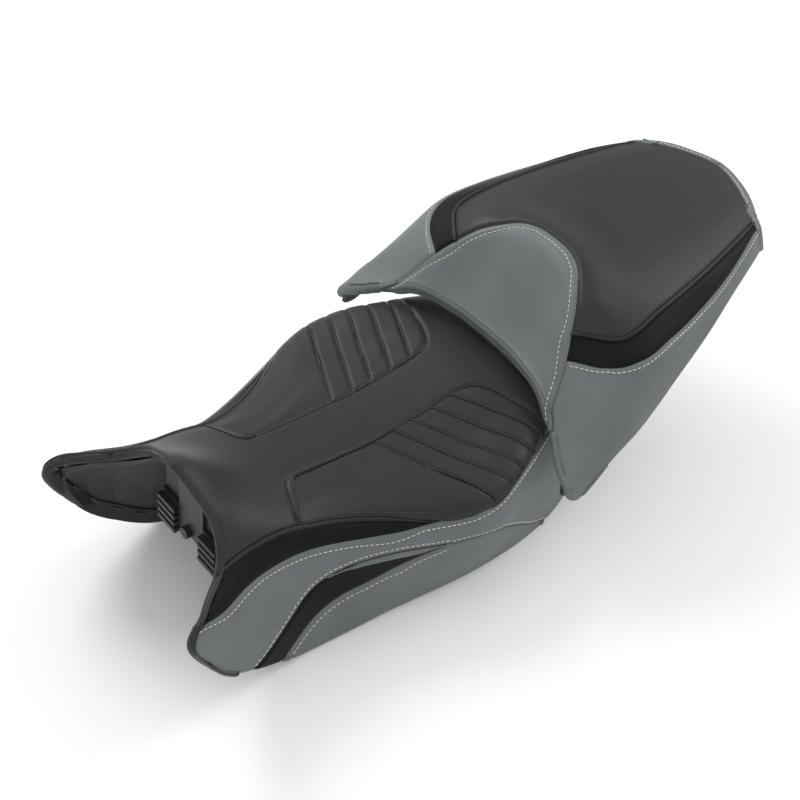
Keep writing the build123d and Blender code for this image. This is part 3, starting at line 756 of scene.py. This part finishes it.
MATERIALS = {
    "black_vinyl": textured("black_vinyl", (0.017, 0.017, 0.0175), 0.46, 0.0009, 0.00006, mirror=0.30),
    # The same black vinyl as black_vinyl, with its base colour darkened as painted shade and a weaker
    # reflection, for the gussets and the stripe on the sides.
    "shaded_black_vinyl": textured("shaded_black_vinyl", (0.006, 0.006, 0.0062), 0.48, 0.0009, 0.00006,
                                 mirror=0.10),
    "grey_vinyl": textured("grey_vinyl", (0.104, 0.117, 0.118), 0.50, 0.0008, 0.00006, woven=0.0011),
    "black_piping": textured("black_piping", (0.012, 0.012, 0.0125), 0.42, 0.0007, 0.00004, mirror=0.25),
    "pan_plastic": textured("pan_plastic", (0.022, 0.022, 0.023), 0.52, 0.0006, 0.00005),
    "black_rubber": textured("black_rubber", (0.012, 0.012, 0.012), 0.48, 0.0012, 0.00008),
    "foam": textured("foam", (0.30, 0.27, 0.20), 0.85, 0.0015, 0.00030, variation=0.15, sheen=0.2),
    "staple_steel": textured("staple_steel", (0.09, 0.09, 0.095), 0.45, 0.0030, 0.00003, metallic=1.0),
    "zinc_steel": textured("zinc_steel", (0.55, 0.56, 0.57), 0.36, 0.0030, 0.00003, metallic=1.0),
    "thread_light": twisted_thread("thread_light", (0.66, 0.63, 0.55)),
    "thread_black": twisted_thread("thread_black", (0.004, 0.004, 0.004)),
}
SLOTS = {"black_vinyl": "black_vinyl", "shaded_black_vinyl": "black_vinyl", "grey_vinyl": "grey_vinyl"}


def finish_piece(obj, body, slot, *nodes):
    """Attaches a piece to what it rides on and hides the CAD nodes it stands for; slot, its finish, is not
    used.
    """
    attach(obj, body)
    if nodes:
        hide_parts(*nodes)
    return obj


def finish_pair(obj, body, slot, node):
    """The piece named NODE_left_sewn and its mirror image, each in place of its CAD node."""
    other = mirror_object(obj, node + "_right_sewn")
    for piece, side in ((obj, "left"), (other, "right")):
        finish_piece(piece, body, slot, f"{node}_{side}")


def cover_whole(patch, node, body, finish, turn):
    """A panel that spans both sides of its seat."""
    piece = patch.build(node + "_sewn", finish, turn)
    finish_piece(piece, body, SLOTS[finish], node)


def cover_pair(patch, node, body, finish, turn=None):
    """A panel of the left side and its mirror image."""
    finish_pair(patch.build(node + "_left_sewn", finish, turn), body, SLOTS[finish], node)


def piping(form, seam, node, body, softness, sunk, shares, sizes):
    """Corded welt along a seam, sunk a little; sizes are shares of its radius along it."""
    line = fair(seam, 200, softness)
    centres, ups = form.at(line), form.normal(line)
    radius = PIPING_RADIUS * np.interp(np.linspace(0, 1, 200), shares, sizes)
    cord = tube(node + "_left_sewn", centres - ups * sunk, ups, radius, "black_piping")
    finish_pair(cord, body, "black_piping", node)


# ---- rider seat ----------------------------------------------------------------------------------
def centre_line(first, last, count=120):
    return np.stack([np.linspace(first, last, count), np.zeros(count)], 1)


def rider_insert(form):
    """Panel with the sewn ribs: a plain front stretch and five ribs that run out to the welt."""
    lines = [form.plan(channel, 60) for channel in CHANNELS]
    rear = form.plan(INSERT_REAR, 60)
    front = coons(form.plan(INSERT_INNER), form.plan(WELT_MIDDLE), form.plan(INSERT_FRONT), lines[0], 84, 64)
    inner = form.plan([channel[0] for channel in CHANNELS] + [(10, 31)], 240)
    outer = form.plan(WELT_RIBS + [(-36, 113)], 240)
    rows, channel_rows = [front], [len(front) - 1]
    for first, last in zip(lines, lines[1:] + [rear]):
        ends = [np.argmin(np.abs(inner[:, 0] - line[0, 0])) for line in (first, last)]
        outs = [np.argmin(np.abs(outer[:, 0] - line[-1, 0])) for line in (first, last)]
        low, high = inner[ends[0]:ends[1] + 1], outer[outs[0]:outs[1] + 1]
        low[0], low[-1], high[0], high[-1] = first[0], last[0], first[-1], last[-1]
        rib = coons(low, high, first, last, 20, 64)
        rows.append(rib[1:])
        channel_rows.append(channel_rows[-1] + len(rib) - 1)
    patch = Patch(form, np.concatenate(rows))
    patch.swell([1.6, 1.0, 1.0, 1.0, 1.0, 1.0], channel_rows[:-1])
    for row in channel_rows[:-1]:
        patch.dip(patch.grid[row], CHANNEL_DIP, CHANNEL_WIDTH)
    return patch.seams("start", "end", "low", "high"), lines


def rider_seams(form):
    """Curves of the rider seat's seams and free edge, as (x, s)."""
    rim = fair(joined(form.plan(ARCH_TOP), form.side(ARCH_SIDE), form.side(WING_FRONT)), 400, 5.0)
    widest = int(np.argmax(rim[:, 0]))
    upper = np.arange(widest)[rim[:widest, 1] > 1.0]
    at_welt = upper[np.argmin(np.abs(rim[upper, 0] - WELT_START))]
    at_gusset = upper[np.argmin(np.abs(rim[upper, 0] - GUSSET_START))]
    front, inner, rear = form.plan(INSERT_FRONT)[::-1], form.plan(INSERT_INNER), form.plan(INSERT_REAR)
    beside_ribs = form.plan([channel[0] for channel in CHANNELS] + [(10, 31)])
    welt_front = snapped(form.plan(WELT_FRONT), first=rim[at_welt])
    welt = joined(welt_front, form.plan(WELT_MIDDLE[:4]), form.plan([(128, 122), (118, 127.5)], 12))
    edge = snapped(form.side(GUSSET_EDGE), first=rim[at_gusset], last=welt[-1])
    behind = joined(form.plan([(118, 127.5), (100, 137), (61, 146)]), form.plan(WELT_RIBS),
                    form.plan(WELT_REAR))
    foot = form.side(STRIPE_FOOT)
    stripe_top = snapped(form.side(STRIPE_TOP), last=rim[-1])
    return {
        "rim": rim, "arch": rim[:at_welt + 1], "gusset_front": rim[at_welt:at_gusset + 1],
        "wing": rim[at_gusset:], "welt": welt, "edge": edge, "top": joined(edge, behind), "foot": foot,
        "outline": joined(welt_front, front, inner, beside_ribs, rear, form.plan(WELT_REAR[1:])),
        "insert": joined(front, inner, beside_ribs, rear), "stripe_top": stripe_top,
        "stripe_low": form.side(STRIPE_LOW), "rear_seam": form.side(REAR_SEAM), "hem": form.side(FRONT_HEM),
    }


def rider_patches(form, seams):
    """Cover panels of the left half of the rider seat, and the full-width centre cover."""
    top = coons(centre_line(320, -68), seams["outline"], seams["arch"], None, 230, 70)
    centre = Patch(form, top, full=True).swell(1.0)
    for line in both_sides(form, seams["outline"]):
        centre.dip(line, SEAM_DIP, SEAM_WIDTH)
    gusset = Patch(form, coons(seams["welt"], seams["edge"], seams["gusset_front"], None, 150, 26))
    gusset.swell(0.8).seams("low", "high")
    under = joined(seams["stripe_top"][::-1], seams["rear_seam"])
    rear_end = joined(form.plan([(-68, 102), (-68, 103)], 4), form.side(REAR_EDGE))
    upper = Patch(form, coons(fair(seams["top"]), under, seams["wing"], rear_end, 190, 60))
    upper.swell(0.8).seams("low", "high")
    stripe = Patch(form, coons(seams["stripe_top"], seams["stripe_low"], None, seams["foot"], 120, 18))
    stripe.swell(0.4).seams("low", "high")
    above = joined(seams["stripe_low"][::-1], seams["rear_seam"])
    lower = Patch(form, coons(above, seams["hem"], None, None, 160, 40))
    lower.swell(0.8).seams("low")
    return {"centre": centre, "gusset": gusset, "upper": upper, "stripe": stripe, "lower": lower}


def both_sides(form, curve):
    """Points of a curve of the form, and of its mirror image."""
    return form.at(curve), form.at(curve) * (1, -1, 1)


def edge_strip(form, curve, width, lift, name, finish, radius, tuck, drop=0.0, taper=0,
               slim=((0, 1), (1, 1))):
    """Strip sewn over a free edge, turned under with it; the curve runs out from the centre line."""
    curve = fair(curve)
    widths = np.full(len(curve), float(width))
    if taper:
        widths[-taper:] = np.linspace(abs(width), 1.5, taper) * np.sign(width)
    inside = beside(form, curve, widths)
    inside[0, 1] = 0.0
    across = spread(9)[:, None, None]
    patch = Patch(form, inside[None] * (1 - across) + curve[None] * across, full=True)
    patch.height += lift
    patch.dip("start", lift + 0.9, 1.4)
    turn = {"side": "end", "radius": radius, "tuck": tuck, "drop": drop, "slim": slim}
    return patch, patch.build(name, finish, turn)


def rider_seat():
    form = Form(RIDER, RIDER_FLOOR, 40.0)
    body = "rider_seat"
    seams = rider_seams(form)
    parts = rider_patches(form, seams)
    insert, channels = rider_insert(form)
    for curve in flank_stitch_lines(form, seams):
        parts["upper"].dip(curve, TOPSTITCH_DIP, TOPSTITCH_WIDTH)
    parts["lower"].dip(beside(form, seams["stripe_low"], STRIPE_INSET), TOPSTITCH_DIP, TOPSTITCH_WIDTH)

    behind_trim = {"side": "start", "radius": RIDER_ROLL - 0.6, "tuck": 3.0, "back": 1.2}
    under_hem = {"radius": RIDER_ROLL - 0.8, "tuck": 8.0}
    cover_whole(parts["centre"], "rider_centre_cover", body, "black_vinyl", behind_trim)
    cover_pair(insert, "rider_ribbed_insert", body, "black_vinyl")
    # The gussets and the stripe take the black vinyl with painted shade in its darker colour.
    cover_pair(parts["gusset"], "rider_gusset", body, "shaded_black_vinyl", behind_trim)
    cover_pair(parts["upper"], "rider_upper_flank", body, "grey_vinyl", {**behind_trim, "back": 1.0})
    cover_pair(parts["stripe"], "rider_stripe", body, "shaded_black_vinyl", {"side": "end", **under_hem})
    cover_pair(parts["lower"], "rider_lower_flank", body, "grey_vinyl", {"side": "high", **under_hem})

    _, trim = edge_strip(form, seams["rim"][:-UNTRIMMED], STRIP_WIDTH, 0.7, "rider_front_trim_sewn",
                         "black_vinyl", RIDER_ROLL, 12.0, taper=TRIM_TAPER)
    finish_piece(trim, body, "black_vinyl", "rider_front_trim")
    rear = form.plan([(-67, 0), (-67, 50), (-67, 98)])
    _, flap = edge_strip(form, rear, -STRIP_WIDTH, 0.5, "rider_rear_hem_sewn", "black_vinyl",
                         RIDER_ROLL - 1.6, 8.0, drop=REAR_DROP)
    finish_piece(flap, body, "black_vinyl")
    piping(form, seams["welt"], "rider_piping", body, 3.0, 0.6, [0, 0.03, 0.78, 1], [0.75, 1, 1, 0.15])
    rider_foam(form, body)
    rider_stitches(form, seams, parts, insert, channels, body)


def foam_sheet(form, patch_sheet, name, body, node):
    """Foam under the cover, as one closed sheet, thinner than the CAD model's foam."""
    patch = Patch(form, patch_sheet, full=True)
    outer = patch.grid - patch.normal * (SKIN + SEAM_DIP + 0.2)
    inner = outer - patch.normal * FOAM_SHEET
    points, faces = closed_sheet(outer, inner)
    foam = welded(mesh_object(name, points, faces.tolist(), MATERIALS["foam"]))
    finish_piece(foam, body, "foam", node)


def rider_foam(form, body):
    edge = form.side([(345, 62), (326, 46), (312, 37), (284, 22), (262, 13), (240, 9), (100, 7), (-20, 7)])
    start = joined(form.plan(ARCH_TOP), form.side(ARCH_SIDE), form.side(WING_FRONT[:4]))
    sheet = coons(centre_line(320, -66), edge, start, None, 60, 50)
    sheet[..., 0] -= 22.0 * np.clip((sheet[..., 0] - 180) / 120, 0, 1)
    foam_sheet(form, sheet, "rider_foam_core", body, "rider_foam")


def flank_stitch_lines(form, seams):
    """Light stitching of the upper flank: below the top seam, above the stripe, above the rear seam."""
    return [fair(beside(form, fair(seams["top"], 260, 10.0), -TOPSTITCH_INSET), 260, 6.0),
            beside(form, seams["stripe_top"], -STRIPE_INSET),
            beside(form, seams["rear_seam"], TOPSTITCH_INSET)]


def rider_stitches(form, seams, parts, insert, channels, body):
    for place, line in zip(("upper", "stripe", "rear"), flank_stitch_lines(form, seams)):
        sew("rider_topstitch_" + place, [parts["upper"]], form, [line], "thread_light", body, 4.0)
    lower_line = beside(form, seams["stripe_low"], STRIPE_INSET)
    sew("rider_topstitch_lower", [parts["lower"]], form, [lower_line], "thread_light", body, 6.0)
    top = [insert, parts["centre"]]
    sew("rider_rib_stitches", top, form, [seams["insert"], *channels], "thread_black", body, 2.0)
    sew("rider_welt_stitches", top, form, [beside(form, seams["welt"], 4.2)], "thread_black", body, 5.0)


# ---- pillion seat --------------------------------------------------------------------------------
def pillion_patches(form):
    seam_side, seam_gusset = form.plan(BOLSTER_SIDE), form.plan(BOLSTER_GUSSET)
    seam = form.plan(BOLSTER)
    full_seam = joined(seam, seam_gusset, seam_side)
    tip = np.repeat(full_seam[-1:], 4, 0)
    bolster = Patch(form, coons(centre_line(-44, -123), tip, form.plan(LIP), full_seam, 70, 110), full=True)
    bolster.swell(1.2).seams("end")
    for line in both_sides(form, beside(form, full_seam, -STRIPE_INSET)):
        bolster.dip(line, TOPSTITCH_DIP, TOPSTITCH_WIDTH)

    piping, tail = form.plan(PAD), form.plan(TAIL)
    pad = Patch(form, coons(centre_line(-123, -381), piping, seam, tail, 150, 60), full=True)
    pad.swell(1.8)
    for line in both_sides(form, tail):
        pad.flattened(line, BAND_WIDTH)
    pad.seams("start", "low", "high")
    edge = form.plan(PAD_GUSSET)
    gusset = Patch(form, coons(piping, edge, seam_gusset, None, 140, 24))
    gusset.swell(1.0).seams("start", "low", "high")
    free = fair(joined(form.plan(WING_LIP), form.side(WING_DROP), form.side(PILLION_HEM)), 300, 3.0)
    end = snapped(form.side(TAIL_END), first=edge[-1], last=free[-1], reach=0.6)
    side = Patch(form, coons(edge, free, seam_side, end, 170, 60))
    side.swell(1.2).seams("start", "low")
    side.dip(beside(form, edge, -TOPSTITCH_INSET), TOPSTITCH_DIP, TOPSTITCH_WIDTH)
    return {"bolster": bolster, "pad": pad, "gusset": gusset, "side": side, "seam": full_seam,
            "piping": piping, "edge": edge}


def pillion_seat():
    form = Form(PILLION, PILLION_FLOOR, 110.0)
    body = "pillion_seat"
    parts = pillion_patches(form)
    lip = {"side": "start", "radius": LIP_ROLL, "tuck": 8.0, "drop": 4.0, "slim": LIP_SLIM}
    hem = {"side": "high", "radius": LIP_ROLL, "tuck": 14.0, "drop": 3.0, "slim": HEM_SLIM}
    under_band = {"side": "end", "radius": TAIL_ROLL - 0.5, "tuck": 2.0, "back": 1.0}
    cover_whole(parts["bolster"], "pillion_bolster_cover", body, "grey_vinyl", lip)
    cover_whole(parts["pad"], "pillion_pad_cover", body, "black_vinyl", under_band)
    # The gusset takes the black vinyl with painted shade in its darker colour.
    cover_pair(parts["gusset"], "pillion_gusset", body, "shaded_black_vinyl")
    cover_pair(parts["side"], "pillion_side_cover", body, "grey_vinyl", hem)
    tail = joined(form.plan(TAIL), form.side(TAIL_END))
    band_patch, band = edge_strip(form, tail, -BAND_WIDTH, 0.8, "pillion_tail_band_sewn", "grey_vinyl",
                                  TAIL_ROLL, 8.0, drop=14.0, slim=BAND_SLIM)
    finish_piece(band, body, "grey_vinyl", "pillion_tail_band")
    piping(form, parts["piping"], "pillion_piping", body, 2.0, 0.5, [0, 0.03, 0.85, 1], [0.75, 1, 1, 0.3])
    pillion_foam(form, body)
    pillion_stitches(form, parts, band_patch, body)


def pillion_foam(form, body):
    hem = form.side([(-14, 104), (-42, 124), (-102, 151), (-145, 177), (-203, 195), (-268, 206), (-336, 211)])
    front = form.plan([(-52, 0), (-48, 62), (-34, 112), (-10, 150), (-12, 168)])
    rear = joined(form.plan([(-372, 0), (-364, 32), (-344, 70)]), form.side([(-342, 222), (-336, 211)], 12))
    front, rear = snapped(front, last=hem[0]), snapped(rear, last=hem[-1])
    sheet = coons(centre_line(-52, -372), hem, front, rear, 60, 50)
    foam_sheet(form, sheet, "pillion_foam_core", body, "pillion_foam")


def pillion_stitches(form, parts, band, body):
    rows = [
        ("bolster_topstitch", parts["bolster"], beside(form, parts["seam"], -STRIPE_INSET),
         "thread_light", 2.5),
        ("side_topstitch", parts["side"], beside(form, parts["edge"], -TOPSTITCH_INSET), "thread_light", 5.0),
        ("pad_stitches", parts["pad"], beside(form, parts["piping"], 4.5), "thread_black", 5.0),
        ("tail_topstitch", band, beside(form, form.plan(TAIL), 3.0 - BAND_WIDTH), "thread_light", 12.0),
    ]
    for name, panel, line, thread, ends in rows:
        sew("pillion_" + name, [panel], form, [line], thread, body, ends)


# ---- frame parts, stage and camera ---------------------------------------------------------------
CAD_FINISH = {
    "rider_base_pan": "pan_plastic", "pillion_base_pan": "pan_plastic", "nose_bracket": "pan_plastic",
    "rider_turned_hem_left": "black_vinyl", "rider_turned_hem_right": "black_vinyl",
    "rider_staples": "staple_steel", "rider_feet": "black_rubber", "pillion_feet": "black_rubber",
    "nose_stop": "black_rubber", "nose_block_left": "black_rubber", "nose_block_right": "black_rubber",
}


def finish_cad_nodes():
    """Better materials on the CAD parts that stay as they are; what isn't listed is bare steel."""
    for name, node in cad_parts.items():
        slot = CAD_FINISH.get(name, "zinc_steel")
        node.data.materials.clear()
        node.data.materials.append(MATERIALS[slot])


def area_light(name, place, target, size, power):
    data = bpy.data.lights.new(name, "AREA")
    data.shape, data.size, data.energy = "DISK", size, power
    light = bpy.data.objects.new(name, data)
    light.location = place
    light.rotation_euler = (Vector(target) - Vector(place)).to_track_quat("-Z", "Y").to_euler()
    bpy.context.scene.collection.objects.link(light)


def studio():
    """Pale floor and background, and soft lights."""
    floor_z = min(cad_box[0].z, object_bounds()[0].z) - FLOOR_GAP
    bpy.ops.mesh.primitive_plane_add(size=12, location=(0, 0, floor_z))
    floor = bpy.context.object
    floor.name = "floor"
    material, _, shader = node_tree("floor_paint")
    shader.inputs["Base Color"].default_value = (0.92, 0.92, 0.92, 1)
    shader.inputs["Roughness"].default_value = 0.9
    floor.data.materials.append(material)
    floor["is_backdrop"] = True
    world = bpy.data.worlds.new("studio")
    bpy.context.scene.world = world
    world.use_nodes = True
    world.node_tree.nodes["Background"].inputs["Color"].default_value = (1, 1, 1, 1)
    world.node_tree.nodes["Background"].inputs["Strength"].default_value = 0.75
    middle = (0, 0, 0.15)
    area_light("key", (0.2, -1.6, 1.7), middle, 1.2, 26)
    area_light("fill", (1.8, 1.2, 1.5), middle, 1.6, 10)
    area_light("rim", (-1.6, 0.4, 1.6), middle, 1.2, 14)


def camera():
    """The viewing angle of the picture: from the front left, 45 degrees up."""
    data = bpy.data.cameras.new("camera")
    data.lens, data.sensor_width = 63.0, 36.0
    data.clip_start, data.clip_end = 0.05, 50
    eye = bpy.data.objects.new("camera", data)
    right, up = Vector((-0.7588, 0.6436, 0.0999)), Vector((-0.4066, -0.588, 0.6992))
    back = right.cross(up).normalized()
    eye.matrix_world = Matrix((right, up, back)).transposed().to_4x4()
    eye.location = (0.7436, 0.6590, 1.0834)
    bpy.context.scene.collection.objects.link(eye)
    bpy.context.scene.camera = eye


finish_cad_nodes()
rider_seat()
pillion_seat()
studio()
camera()
bpy.context.scene.view_settings.view_transform = "Standard"
